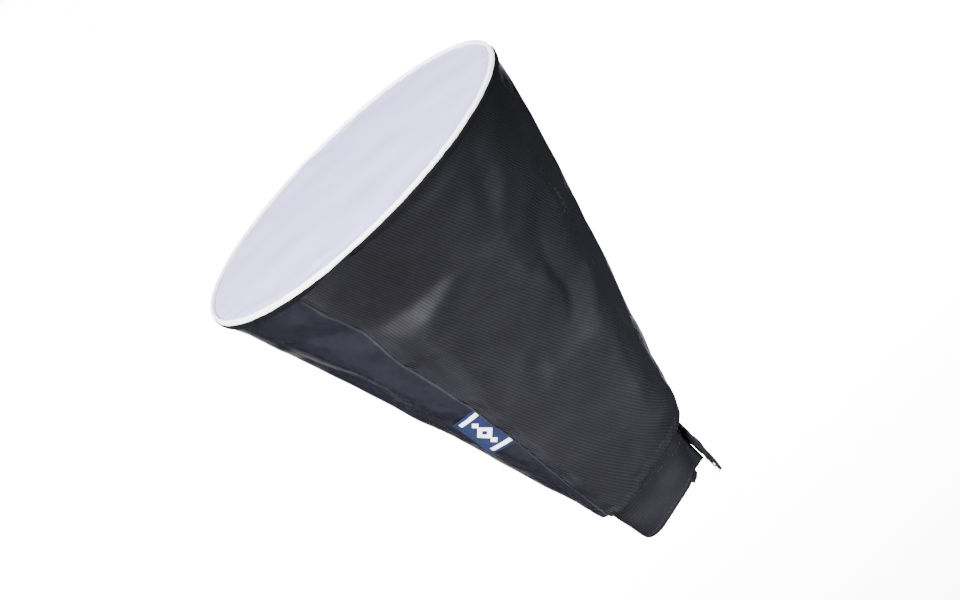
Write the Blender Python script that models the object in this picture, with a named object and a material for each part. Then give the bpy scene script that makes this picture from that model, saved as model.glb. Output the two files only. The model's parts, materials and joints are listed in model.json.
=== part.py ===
"""Soft conical snoot for a shoe-mount flash, in metres.

The frame's origin is the centre of the cuff's rear opening, where the flash head goes in. +Z is the way the light
leaves, +Y is the flash head's top and +X is one of its sides. A padded black wall is wrapped into a cone and closed
along its side by a hook-and-loop flap. A white diffuser cap is pulled over the mouth, and a cuff with a
hook-and-loop tail grips the flash head.
"""

import math

import bmesh
import bpy
from mathutils import Vector

MM = 0.001

# Driving sizes of the cone
MOUTH_RADIUS = 98.0 * MM  # outer fabric, at the mouth
MOUTH_Z = 247.0 * MM
REAR_WIDTH = 90.0 * MM  # outer fabric, at the rear edge
REAR_HEIGHT = 68.0 * MM
REAR_CORNER = 20.0 * MM
REAR_Z = 24.0 * MM

# Layers of the wall, from the outside in
GAP = 0.3 * MM  # left between pieces that touch
OUTER_CLOTH = 0.8 * MM
FOAM = 2.0 * MM
LINING = 0.6 * MM
TAPE = 0.8 * MM
FOAM_OFFSET = -(OUTER_CLOTH + GAP)
LINING_OFFSET = FOAM_OFFSET - FOAM - GAP
WALL = OUTER_CLOTH + FOAM + LINING + 2 * GAP

# Stiff strip that keeps the mouth round
BONING_WIDTH = 10.0 * MM
BONING_THICKNESS = 1.2 * MM

# Side closure
HINGE_ANGLE = -10.0  # degrees round from +X, where the flap leaves the wall
SLIT_NEAR = -11.0
SLIT_FAR = -13.0
PANEL_SEAM = 257.5  # where the ribbed panel meets the smooth one, under the cone
FREE_ANGLE_REAR = -31.0  # the flap's free edge
FREE_ANGLE_MOUTH = -29.0
VELCRO = 1.0 * MM
FLAP_LIFT = 2 * VELCRO + 3 * GAP
FLAP_END_Z = 244.4 * MM

# Label
LABEL_LENGTH = 31.0 * MM
LABEL_DROP = 19.0 * MM
LABEL_Z = 101.5 * MM
LABEL_THICKNESS = 0.6 * MM

# Cuff
CUFF_WIDTH = 80.0 * MM
CUFF_HEIGHT_REAR = 48.0 * MM
CUFF_HEIGHT_FRONT = 58.4 * MM
CUFF_CORNER = 14.0 * MM
CUFF_CLOTH = 2.0 * MM
CUFF_FRONT_Z = 36.0 * MM
PAD_THICKNESS = 1.5 * MM
PAD_LENGTH = 18.0 * MM
PAD_START_Z = 3.0 * MM
CUFF_OPEN_FROM = 40.0  # degrees: the cuff band is open over the top between these
CUFF_OPEN_TO = 140.0

# Cuff closure, a stack of flat layers over the top, from the inside out
STRAP_CLOTH = 0.8 * MM
STRAP_VELCRO = 0.7 * MM
TONGUE_TOP_Y = 29.9 * MM
LOOP_TOP_Y = TONGUE_TOP_Y + GAP + STRAP_VELCRO
HOOK_TOP_Y = LOOP_TOP_Y + GAP + STRAP_VELCRO
TAIL_TOP_Y = HOOK_TOP_Y + GAP + STRAP_CLOTH
TAIL_HINGE_X = -26.0 * MM

# Diffuser cap
CAP_INNER_RADIUS = MOUTH_RADIUS + GAP + TAPE + GAP
CAP_OUTER_RADIUS = CAP_INNER_RADIUS + 2.5 * MM
CAP_REAR_Z = 245.0 * MM
CAP_FRONT_Z = 250.6 * MM
CAP_CLOTH = 0.8 * MM
CAP_CROWN = 4.0 * MM

ANGLE_STEP = 7.5  # degrees between the points round the cone
WALL_STATIONS = 4  # stretches along the cone

# Colours (linear RGB), roughness, metallic
BLACK_CLOTH = ((0.020, 0.020, 0.024), 0.62, 0.0)
BLACK_SATIN = ((0.030, 0.030, 0.036), 0.38, 0.0)
BLACK_TAPE = ((0.012, 0.012, 0.014), 0.75, 0.0)
FOAM_GREY = ((0.10, 0.10, 0.11), 0.90, 0.0)
SILVER = ((0.80, 0.81, 0.83), 0.28, 1.0)
BONING_PLASTIC = ((0.60, 0.62, 0.64), 0.40, 0.0)
VELCRO_BLACK = ((0.015, 0.015, 0.017), 0.95, 0.0)
PAD_RUBBER = ((0.030, 0.030, 0.032), 0.55, 0.0)
LABEL_BLUE = ((0.020, 0.035, 0.120), 0.60, 0.0)
DIFFUSER_WHITE = ((0.72, 0.72, 0.82), 0.55, 0.0)
PIPING_WHITE = ((0.85, 0.86, 0.90), 0.45, 0.0)


def lerp(start, end, share):
    return start + (end - start) * share


def steps(start, end, count):
    """count + 1 evenly spaced values from start to end."""
    return [lerp(start, end, i / count) for i in range(count + 1)]


def round_angles(start, end):
    """Angles in degrees from start to end, ANGLE_STEP apart or a little less."""
    return steps(start, end, math.ceil(abs(end - start) / ANGLE_STEP))


def rounded_box_radius(angle, width, height, corner):
    """Distance from the centre to a rounded rectangle's outline, in the direction of angle (degrees)."""
    across, up = abs(math.cos(math.radians(angle))), abs(math.sin(math.radians(angle)))
    corner_x, corner_y = width / 2 - corner, height / 2 - corner
    if across > 0 and width / 2 / across * up <= corner_y:
        return width / 2 / across
    if up > 0 and height / 2 / up * across <= corner_x:
        return height / 2 / up
    along = across * corner_x + up * corner_y
    return along + math.sqrt(along**2 - corner_x**2 - corner_y**2 + corner**2)


def polar(angle, radius, z):
    return Vector((radius * math.cos(math.radians(angle)), radius * math.sin(math.radians(angle)), z))


def on_wall(angle, offset, z):
    """A point at this offset outside the cone's outer cloth, which blends from a rounded box to the round mouth."""
    share = min(max((z - REAR_Z) / (MOUTH_Z - REAR_Z), 0.0), 1.0)
    rear = rounded_box_radius(angle, REAR_WIDTH + 2 * offset, REAR_HEIGHT + 2 * offset, REAR_CORNER + offset)
    return polar(angle, lerp(rear, MOUTH_RADIUS + offset, share), z)


def on_cuff(angle, offset, z):
    """A point at this offset outside the cuff band. Its height tapers to the rear, and its width doesn't."""
    height = lerp(CUFF_HEIGHT_REAR, CUFF_HEIGHT_FRONT, min(z / REAR_Z, 1.0))
    radius = rounded_box_radius(angle, CUFF_WIDTH + 2 * offset, height + 2 * offset, CUFF_CORNER + offset)
    return polar(angle, radius, z)


def free_angle(z):
    """Where the closure flap's free edge lies, in degrees."""
    return lerp(FREE_ANGLE_REAR, FREE_ANGLE_MOUTH, (z - REAR_Z) / (MOUTH_Z - REAR_Z))


def clear_scene():
    for obj in list(bpy.data.objects):
        bpy.data.objects.remove(obj)


def material(name, look):
    colour, roughness, metallic = look
    made = bpy.data.materials.get(name)
    if made is None:
        made = bpy.data.materials.new(name)
        made.use_nodes = True
        shader = made.node_tree.nodes["Principled BSDF"]
        shader.inputs["Base Color"].default_value = (*colour, 1.0)
        shader.inputs["Roughness"].default_value = roughness
        shader.inputs["Metallic"].default_value = metallic
    return made


def add_object(name, mesh, look_name, look, parent):
    """Links the mesh as an object under its body's empty, keeping its place."""
    mesh.materials.append(material(look_name, look))
    obj = bpy.data.objects.new(name, mesh)
    bpy.context.scene.collection.objects.link(obj)
    obj.location = -parent.location
    obj.parent = parent
    return obj


def body(name, location=(0.0, 0.0, 0.0)):
    """An empty on the body's joint axis. Its pieces are parented to it."""
    empty = bpy.data.objects.new(name + "_body", None)
    empty.location = location
    bpy.context.scene.collection.objects.link(empty)
    return empty


def sheet(name, place, across, along, thickness, look_name, look, parent):
    """Cloth whose face is place(u, v) over the two lists, thickened behind that face by a Solidify modifier."""
    bm = bmesh.new()
    rows = [[bm.verts.new(place(u, v)) for u in across] for v in along]
    for low, high in zip(rows, rows[1:]):
        for i in range(len(across) - 1):
            bm.faces.new((low[i], low[i + 1], high[i + 1], high[i]))
    mesh = bpy.data.meshes.new(name)
    bm.to_mesh(mesh)
    bm.free()
    mesh.shade_smooth()
    obj = add_object(name, mesh, look_name, look, parent)
    solidify = obj.modifiers.new("Thickness", "SOLIDIFY")
    solidify.thickness = thickness
    solidify.offset = -1.0
    solidify.use_even_offset = True
    return obj


def turned(name, profile, look_name, look, parent):
    """A closed profile of (radius, z) points, spun about Z. Points on the axis become one."""
    bm = bmesh.new()
    points = [bm.verts.new((r, 0.0, z)) for r, z in profile]
    edges = [bm.edges.new((a, b)) for a, b in zip(points, points[1:] + points[:1]) if a.co.x > 0 or b.co.x > 0]
    bmesh.ops.spin(
        bm,
        geom=points + edges,
        cent=(0, 0, 0),
        axis=(0, 0, 1),
        angle=math.tau,
        steps=round(360 / ANGLE_STEP),
        use_merge=True,
    )
    bmesh.ops.remove_doubles(bm, verts=bm.verts, dist=0.01 * MM)
    bmesh.ops.recalc_face_normals(bm, faces=bm.faces)
    mesh = bpy.data.meshes.new(name)
    bm.to_mesh(mesh)
    bm.free()
    mesh.shade_smooth()
    mesh.set_sharp_from_angle(angle=math.radians(40))
    return add_object(name, mesh, look_name, look, parent)


# The wall of the cone


def wall_layer(name, offset, thickness, span, z_span, look_name, look, parent):
    """One layer of the wrapped wall, between two angles and two heights."""
    stations = steps(*z_span, WALL_STATIONS)
    sheet(name, lambda a, z: on_wall(a, offset, z), round_angles(*span), stations, thickness, look_name, look, parent)


def wall_tape(name, path, thickness, look_name, look, parent):
    """A tape round the wall's edge. Its exposed face follows the path's (offset, z) points."""
    angles = round_angles(SLIT_NEAR, SLIT_FAR + 360)
    sheet(name, lambda a, p: on_wall(a, *p), angles, path, thickness, look_name, look, parent)


def build_wall(root):
    ribbed, smooth = (SLIT_NEAR, PANEL_SEAM - 0.2), (PANEL_SEAM + 0.2, SLIT_FAR + 360)
    whole, foam_end = (SLIT_NEAR, SLIT_FAR + 360), MOUTH_Z - BONING_WIDTH - 2 * MM
    full, padded = (REAR_Z, MOUTH_Z), (REAR_Z + 1 * MM, foam_end)
    wall_layer("main_panel", 0.0, OUTER_CLOTH, ribbed, full, "ribbed_nylon", BLACK_CLOTH, root)
    wall_layer("lower_panel", 0.0, OUTER_CLOTH, smooth, full, "black_satin", BLACK_SATIN, root)
    wall_layer("foam_core", FOAM_OFFSET, FOAM, whole, padded, "foam", FOAM_GREY, root)
    wall_layer("silver_lining", LINING_OFFSET, LINING, whole, full, "silver_lining", SILVER, root)
    boning_offset = FOAM_OFFSET - (FOAM - BONING_THICKNESS) / 2
    boning = [(boning_offset, foam_end + 1 * MM), (boning_offset, MOUTH_Z - 1 * MM)]
    wall_tape("mouth_boning", boning, BONING_THICKNESS, "boning", BONING_PLASTIC, root)
    build_hems(root)


def build_hems(root):
    """Tapes folded over the wall's two ends. The mouth's tape has a leg on each side, the rear's only outside."""
    out, inside = GAP + TAPE, -(WALL + GAP + TAPE)
    mouth_leg, mouth_edge = CAP_REAR_Z + GAP, MOUTH_Z + GAP + TAPE
    mouth_path = [(out, mouth_leg), (out, mouth_edge), (inside, mouth_edge), (inside, mouth_leg)]
    wall_tape("mouth_hem", mouth_path, TAPE, "black_tape", BLACK_TAPE, root)
    rear_leg, rear_edge = REAR_Z + 6 * MM, REAR_Z - GAP - TAPE
    rear_path = [(-WALL, rear_edge), (out, rear_edge), (out, rear_leg)]
    wall_tape("rear_hem", rear_path, TAPE, "black_tape", BLACK_TAPE, root)


# The side closure


def across_flap(share, z, offset):
    """A point on the wall between the flap's hinge (share 0) and its free edge (share 1)."""
    return on_wall(lerp(HINGE_ANGLE, free_angle(z), share), offset, z)


def flap_offset(share):
    """The flap rises from the wall at its hinge and then lies on the hook strip."""
    rise = min(share / 0.2, 1.0)
    return lerp(GAP, FLAP_LIFT, rise) + OUTER_CLOTH


def build_closure(root, flap):
    stations = steps(REAR_Z + 7.5 * MM, FLAP_END_Z, WALL_STATIONS)
    velcro_stations = steps(REAR_Z + 9 * MM, FLAP_END_Z - 2 * MM, WALL_STATIONS)
    # The free edge has the lower angle, so the lists run from it to the hinge and the faces point out.
    velcro_shares = steps(0.92, 0.26, 3)
    sheet(
        "loop_strip",
        lambda s, z: across_flap(s, z, GAP + VELCRO),
        velcro_shares,
        velcro_stations,
        VELCRO,
        "loop_pile",
        VELCRO_BLACK,
        root,
    )
    sheet(
        "hook_strip",
        lambda s, z: across_flap(s, z, 2 * (GAP + VELCRO)),
        velcro_shares,
        velcro_stations,
        VELCRO,
        "hook_tape",
        VELCRO_BLACK,
        flap,
    )
    sheet(
        "closure_flap",
        lambda s, z: across_flap(s, z, flap_offset(s)),
        [1.0, 0.8, 0.6, 0.4, 0.2, 0.1, 0.02],
        stations,
        OUTER_CLOTH,
        "black_nylon",
        BLACK_CLOTH,
        flap,
    )
    tape = 0.5 * MM
    top, under = FLAP_LIFT + OUTER_CLOTH + GAP + tape, FLAP_LIFT - GAP - tape
    middle = (top + under) / 2
    # The tape's folded edge stands 1 to 1.5 mm past the flap's, and its under leg ends at the hook strip.
    binding_path = [(0.95, under), (1.03, under), (1.06, middle), (1.03, top), (0.86, top)]
    sheet(
        "flap_binding",
        lambda p, z: across_flap(p[0], z, p[1]),
        binding_path,
        stations,
        tape,
        "black_tape",
        BLACK_TAPE,
        flap,
    )


def label_root_angle(z):
    """The label hinges just below the flap's binding, so it lifts with the flap closed."""
    return free_angle(z) - 1.6


def build_label(label):
    """A woven label, sewn along its upper edge, with its lower edge free."""

    def place(drop, z):
        root = label_root_angle(z)
        radius = on_wall(root, 0.0, z).xy.length
        return on_wall(root - math.degrees(drop / radius), GAP + LABEL_THICKNESS, z)

    stations = steps(LABEL_Z, LABEL_Z + LABEL_LENGTH, 2)
    drops = steps(LABEL_DROP, 0.0, 3)
    sheet("woven_label", place, drops, stations, LABEL_THICKNESS, "woven_label", LABEL_BLUE, label)


# The cuff


def band_angles():
    """The points round the cuff band, which is open over the top."""
    return round_angles(CUFF_OPEN_TO, CUFF_OPEN_FROM + 360)


def build_cuff(root):
    angles = band_angles()
    stations = [0.0, REAR_Z, CUFF_FRONT_Z]
    sheet(
        "cuff_band",
        lambda a, z: on_cuff(a, 0.0, z),
        angles,
        stations,
        CUFF_CLOTH,
        "black_webbing",
        BLACK_CLOTH,
        root,
    )
    offset = -(CUFF_CLOTH + GAP)
    pads = {"grip_pad_near": (-18.0, 18.0), "grip_pad_far": (162.0, 198.0), "grip_pad_bottom": (246.0, 294.0)}
    for name, (start, end) in pads.items():
        sheet(
            name,
            lambda a, z: on_cuff(a, offset, z),
            steps(start, end, 4),
            [PAD_START_Z, PAD_START_Z + PAD_LENGTH],
            PAD_THICKNESS,
            "grip_rubber",
            PAD_RUBBER,
            root,
        )


def flat_layer(name, corners, top_y, thickness, look_name, look, parent):
    """A flat four-cornered layer. Its corners are (x, z) points: root rear, root front, tip front, tip rear."""
    root_rear, root_front, tip_front, tip_rear = corners

    def place(along, up):
        x = lerp(lerp(root_rear[0], root_front[0], up), lerp(tip_rear[0], tip_front[0], up), along)
        z = lerp(lerp(root_rear[1], root_front[1], up), lerp(tip_rear[1], tip_front[1], up), along)
        return Vector((x, top_y, z))

    share = [1.0, 0.5, 0.0] if tip_rear[0] > root_rear[0] else [0.0, 0.5, 1.0]
    return sheet(name, place, share, [0.0, 1.0], thickness, look_name, look, parent)


def build_cuff_closure(root, tail):
    """Tongue and loop patch on the fixed side, hook patch and tail on the side that peels off."""
    inside = -(CUFF_CLOTH + GAP)

    def tongue_place(step, z):
        if step <= 3:
            return on_cuff(lerp(24.0, 42.0, step / 3), inside, z)
        return Vector((lerp(21.0 * MM, -20.0 * MM, (step - 4) / 2), TONGUE_TOP_Y, z))

    tongue_z = [1 * MM, 21.5 * MM]
    sheet(
        "cuff_tongue", tongue_place, range(7), tongue_z, STRAP_CLOTH, "black_webbing", BLACK_CLOTH, root
    )
    loop = [(18 * MM, 2 * MM), (18 * MM, 21 * MM), (-18 * MM, 21 * MM), (-18 * MM, 2 * MM)]
    flat_layer("tongue_loop_patch", loop, LOOP_TOP_Y, STRAP_VELCRO, "loop_pile", VELCRO_BLACK, root)

    def anchor_place(step, z):
        if step >= 2:
            return on_cuff(band_angles()[step - 2], GAP + STRAP_CLOTH, z)
        return Vector((lerp(TAIL_HINGE_X - 1 * MM, -29.5 * MM, step), lerp(TAIL_TOP_Y, TAIL_TOP_Y - 1 * MM, step), z))

    sheet(
        "tail_anchor", anchor_place, range(5), tongue_z, STRAP_CLOTH, "black_webbing", BLACK_CLOTH, root
    )
    hook = [(-12 * MM, 0 * MM), (-12 * MM, 20.5 * MM), (23 * MM, 19.5 * MM), (23 * MM, -8 * MM)]
    flat_layer("tail_hook_patch", hook, HOOK_TOP_Y, STRAP_VELCRO, "hook_tape", VELCRO_BLACK, tail)
    outline = [
        (TAIL_HINGE_X + GAP, -0.5 * MM),
        (TAIL_HINGE_X + GAP, 21.5 * MM),
        (25 * MM, 21.5 * MM),
        (26 * MM, -9.5 * MM),
    ]
    flat_layer("cuff_tail", outline, TAIL_TOP_Y, STRAP_CLOTH, "black_webbing", BLACK_CLOTH, tail)


# The diffuser cap


def cap_height(radius):
    """The diffuser's underside: flat at the mouth's hem, then a low crown."""
    share = min(radius / (CAP_INNER_RADIUS - GAP), 1.0)
    return MOUTH_Z + GAP + TAPE + GAP + CAP_CROWN * (1 - share**4)


def build_cap(cap):
    edge = CAP_INNER_RADIUS - GAP
    rings = [0.0, 0.35, 0.65, 0.85, 1.0]
    under = [(edge * share, cap_height(edge * share)) for share in rings]
    over = [(r, z + CAP_CLOTH) for r, z in reversed(under)]
    turned("diffuser_sheet", under + over, "white_diffuser", DIFFUSER_WHITE, cap)
    cord_radius = 0.65 * MM
    channel = cord_radius + GAP
    middle_r = CAP_INNER_RADIUS + 0.2 * MM + channel
    middle_z = CAP_REAR_Z + 0.7 * MM + channel
    cord = [
        (middle_r + cord_radius * math.cos(math.tau * i / 6), middle_z + cord_radius * math.sin(math.tau * i / 6))
        for i in range(6)
    ]
    turned("elastic_cord", cord, "elastic", PIPING_WHITE, cap)
    bevel = 0.7 * MM
    binding = [
        (CAP_INNER_RADIUS, CAP_REAR_Z),
        (CAP_OUTER_RADIUS - bevel, CAP_REAR_Z),
        (CAP_OUTER_RADIUS, CAP_REAR_Z + bevel),
        (CAP_OUTER_RADIUS, CAP_FRONT_Z - bevel),
        (CAP_OUTER_RADIUS - bevel, CAP_FRONT_Z),
        (CAP_INNER_RADIUS, CAP_FRONT_Z),
        (CAP_INNER_RADIUS, middle_z + channel),
        (middle_r + channel, middle_z + channel),
        (middle_r + channel, middle_z - channel),
        (CAP_INNER_RADIUS, middle_z - channel),
    ]
    turned("edge_binding", binding, "white_piping", PIPING_WHITE, cap)


def main():
    clear_scene()
    root = body("root")
    flap = body("closure_flap", on_wall(HINGE_ANGLE, GAP, REAR_Z))
    label = body("label", on_wall(label_root_angle(LABEL_Z), GAP, LABEL_Z))
    tail = body("cuff_tail", (TAIL_HINGE_X, TAIL_TOP_Y, 0.0))
    cap = body("diffuser_cap")
    build_wall(root)
    build_closure(root, flap)
    build_label(label)
    build_cuff(root)
    build_cuff_closure(root, tail)
    build_cap(cap)
    bpy.context.view_layer.update()


main()
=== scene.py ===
"""The looks of a soft flash snoot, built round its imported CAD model, in metres and in the CAD model's frame.

+Z is the way the light leaves, +Y the flash head's top, +X the side with the closure flap. Angles run round +Z
from +X, in degrees. The wall is one function of angle, height and lift, and its cloth pieces are drawn on it.
"""

import json
import math

import bpy
import numpy as np
from mathutils import Matrix, Vector
from mathutils.geometry import delaunay_2d_cdt


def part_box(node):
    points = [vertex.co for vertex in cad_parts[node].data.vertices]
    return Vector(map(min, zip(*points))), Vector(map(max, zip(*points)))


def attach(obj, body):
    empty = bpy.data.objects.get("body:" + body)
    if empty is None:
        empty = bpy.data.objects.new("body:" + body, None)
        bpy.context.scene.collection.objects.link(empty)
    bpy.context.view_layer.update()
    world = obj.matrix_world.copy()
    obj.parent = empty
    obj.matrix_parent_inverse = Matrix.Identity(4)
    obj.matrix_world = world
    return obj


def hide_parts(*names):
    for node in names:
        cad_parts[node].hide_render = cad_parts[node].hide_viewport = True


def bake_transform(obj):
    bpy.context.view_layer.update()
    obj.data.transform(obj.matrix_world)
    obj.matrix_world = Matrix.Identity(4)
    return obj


MM = 0.001
TAU = math.tau

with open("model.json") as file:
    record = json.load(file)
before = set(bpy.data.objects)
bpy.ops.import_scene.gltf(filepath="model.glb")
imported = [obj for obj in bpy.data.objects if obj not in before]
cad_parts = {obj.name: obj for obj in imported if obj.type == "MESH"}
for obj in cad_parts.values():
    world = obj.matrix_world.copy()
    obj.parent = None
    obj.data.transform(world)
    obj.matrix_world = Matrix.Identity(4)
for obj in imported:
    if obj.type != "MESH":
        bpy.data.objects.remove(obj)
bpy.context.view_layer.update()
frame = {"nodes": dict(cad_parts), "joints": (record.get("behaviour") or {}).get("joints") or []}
JOINTS = {joint["name"]: joint for joint in frame["joints"]}

# The CAD model's own lines
REAR_Z, MOUTH_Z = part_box("main_panel")[0].z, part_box("main_panel")[1].z
MOUTH_RADIUS = 98.0 * MM
REAR_WIDTH, REAR_HEIGHT, REAR_CORNER = 90.0 * MM, 68.0 * MM, 20.0 * MM
CAP_REAR_Z, CAP_FRONT_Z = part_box("edge_binding")[0].z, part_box("edge_binding")[1].z
CAP_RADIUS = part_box("edge_binding")[1].x
CUFF_WIDTH, CUFF_HEIGHT_REAR, CUFF_HEIGHT_FRONT, CUFF_CORNER = 80.0 * MM, 48.0 * MM, 58.4 * MM, 14.0 * MM
HINGE_ANGLE = math.degrees(math.atan2(JOINTS["flap_peel"]["pos_m"][1], JOINTS["flap_peel"]["pos_m"][0]))
PANEL_SEAM = 257.5
LINING_OFFSET = -3.4 * MM
COLLAR_LIFT = 3.35  # mm: how far the wall stands out under the diffuser's binding


# Small tools


def smooth(value, low, high):
    """0 below low, 1 above high, with an even slope between."""
    share = np.clip((np.asarray(value, float) - low) / (high - low), 0.0, 1.0)
    return share * share * (3 - 2 * share)


def stack(*parts):
    """Points or flat places from their coordinates, each spread to the shape of the largest."""
    return np.stack(np.broadcast_arrays(*parts), axis=-1)


def polar(radius, angle, z):
    """Points at this distance from the axis, this angle in radians and this height."""
    return stack(radius * np.cos(angle), radius * np.sin(angle), z)


def waves(points, length, seed, count=9):
    """A smooth random field of about this wavelength, mostly from -1 to 1."""
    random = np.random.default_rng(seed)
    total = np.zeros(points.shape[:-1])
    for _ in range(count):
        way = random.normal(size=3)
        way *= TAU / length * random.uniform(0.6, 1.5) / np.linalg.norm(way)
        total += np.sin(points @ way + random.uniform(0, TAU))
    return total / math.sqrt(count / 2)


def rounded_box(angle, width, height, corner):
    """Distance from the centre to a rounded rectangle's outline, in the direction of an angle in radians."""
    across, up = np.abs(np.cos(angle)) + 1e-12, np.abs(np.sin(angle)) + 1e-12
    half_w, half_h = width / 2, height / 2
    side, top = half_w / across, half_h / up
    corner_x, corner_y = half_w - corner, half_h - corner
    along = across * corner_x + up * corner_y
    arc = along + np.sqrt(np.maximum(along**2 - corner_x**2 - corner_y**2 + corner**2, 0))
    return np.where(side * up <= corner_y, side, np.where(top * across <= corner_x, top, arc))


# The wall's surface


def puff(angle, z):
    """How far the padded wall swells past the CAD model's lines: most along the top, and at the collar."""
    swell = 0.5 + 5.0 * (0.5 + 0.5 * np.sin(angle)) ** 1.5
    collar = smooth(z, 205 * MM, 247 * MM)
    return (swell * smooth(z, REAR_Z - 2 * MM, REAR_Z + 26 * MM) * (1 - collar) + COLLAR_LIFT * collar) * MM


def slant(angle):
    """How far forward of the CAD model's line the wall's rear edge lies: most over the top."""
    half = rounded_box(angle, REAR_WIDTH, REAR_HEIGHT, REAR_CORNER)
    return 5.1 * MM + 0.18 * half * np.sin(angle)


def plain_wall(degrees, z):
    """Points on the wall with no folds."""
    angle = np.radians(degrees)
    z = z + slant(angle) * (1 - smooth(z, REAR_Z, REAR_Z + 44 * MM))
    share = np.clip((z - REAR_Z) / (MOUTH_Z - REAR_Z), 0.0, 1.0)
    out = puff(angle, z)
    rear = rounded_box(angle, REAR_WIDTH + 2 * out, REAR_HEIGHT + 2 * out, REAR_CORNER + out)
    return polar(rear + (MOUTH_RADIUS + out - rear) * share, angle, z)


# The wall's ridges and valleys, as lines of (angle, height in mm, lift in mm). Flat facets span them.
CREASES = [
    [(-5, 243, 0.0), (-2, 233, 0.2), (1, 218, 0.3), (4, 208, 0.3)],
    [(-33, 206, -2.6), (-22, 205, -4.5), (-12, 204, -4.5), (-4, 203, -3.2), (2, 202, -0.9)],
    [(-28, 224, -1.4), (-16, 226, -1.6), (-6, 226, -1.0)],
    [(-33, 190, -0.8), (-22, 191, 0.0), (-8, 194, 0.2), (3, 198, 0.7)],
    [(-17, 184, 1.0), (-16, 172, 1.5), (-17, 155, 1.4), (-19, 140, 0.7)],
    [(-25, 182, -1.6), (-24, 170, -2.1), (-25, 152, -1.9), (-27, 138, -0.8)],
    [(-1, 190, -0.8), (-6, 178, -1.9), (-9, 160, -1.9), (-11, 145, -1.2), (-12, 130, -0.4)],
    [(10, 196, 1.2), (9, 176, 1.1), (7, 158, 0.9), (8, 145, 0.7)],
    [(31, 229, -0.7), (30, 221, -1.2), (26, 210, -1.0)],
    [(37, 224, 0.8), (36, 212, 0.9)],
    [(23, 224, 0.3), (20, 212, 0.4)],
    [(24, 198, 0.2), (23, 190, 1.2), (21, 180, 2.0), (21, 171, 2.4), (25, 158, 2.1), (28, 149, 1.0)],
    [(39, 182, -1.6), (35, 173, -2.7), (32, 167, -3.0), (31, 156, -3.4), (32, 146, -3.5), (30, 139, -2.9),
     (26, 134, -2.2), (21, 131, -1.5), (15, 127, -0.7)],
    [(50, 181, 0.0), (48, 166, 0.0), (48, 150, 0.0), (45, 133, 0.1), (35, 122, 0.0), (25, 117, 0.2)],
    [(4, 141, -0.2), (2, 129, -1.7), (0, 122, -1.2), (-3, 112, 0.0)],
    [(8, 130, 0.8), (5, 118, 0.6)],
    [(-5, 131, 0.7), (-8, 118, 0.5)],
    [(59, 209, -1.2), (60, 190, -2.2), (64, 168, -2.0), (60, 148, -1.8), (54, 131, -1.4), (48, 115, -1.2)],
    [(72, 214, 1.4), (75, 190, 1.8), (79, 166, 1.4), (74, 144, 1.4), (70, 122, 1.0)],
    [(50, 200, 1.2), (52, 178, 1.2)],
    [(-62, 224, 0.8), (-57, 213, 1.7), (-53, 198, 2.3), (-49, 183, 2.6), (-46, 169, 2.4), (-47, 157, 1.6)],
    [(-42, 205, -0.4), (-40, 180, -0.4), (-39, 160, -0.3)],
    [(-68, 205, -0.8), (-64, 186, -1.6), (-61, 168, -1.9), (-60, 150, -1.2)],
    [(-76, 196, 0.8), (-73, 176, 1.0), (-70, 156, 1.6), (-66, 136, 1.8), (-62, 118, 1.0)],
    [(-90, 186, -1.0), (-87, 168, -2.2), (-85, 148, -1.2)],
    [(-36, 243, -0.9), (-37, 239, -1.6), (-38, 233, -0.4)],
    [(-42, 242, 0.7), (-43, 234, 0.9)],
    [(-31, 240, 0.9), (-33, 230, 0.5)],
    [(34, 104, 1.0), (30, 84, 1.4), (26, 64, 1.2)],
    [(18, 98, -0.8), (14, 80, -1.2), (10, 62, -0.6)],
    [(-4, 92, 0.9), (-8, 70, 1.3), (-12, 52, 1.0)],
    [(-24, 100, 0.8), (-26, 80, 1.0), (-28, 60, 0.8)],
    [(48, 90, -1.0), (46, 70, -1.2), (44, 52, -0.6)],
]
MAP_STEP_ANGLE, MAP_STEP_Z = 1.0, 1.5  # degrees, mm
MAP_ANGLE, MAP_Z = np.arange(-200, 200.1, MAP_STEP_ANGLE), np.arange(20, 250.1, MAP_STEP_Z)
MM_PER_DEGREE = 1.3  # round the wall, about halfway along the cone
CREASE_ROUNDING = 1.1  # map steps
CLEAR_OF_CREASES = 13.0  # mm: a chance facet's corner is at least this far from a crease's


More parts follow.
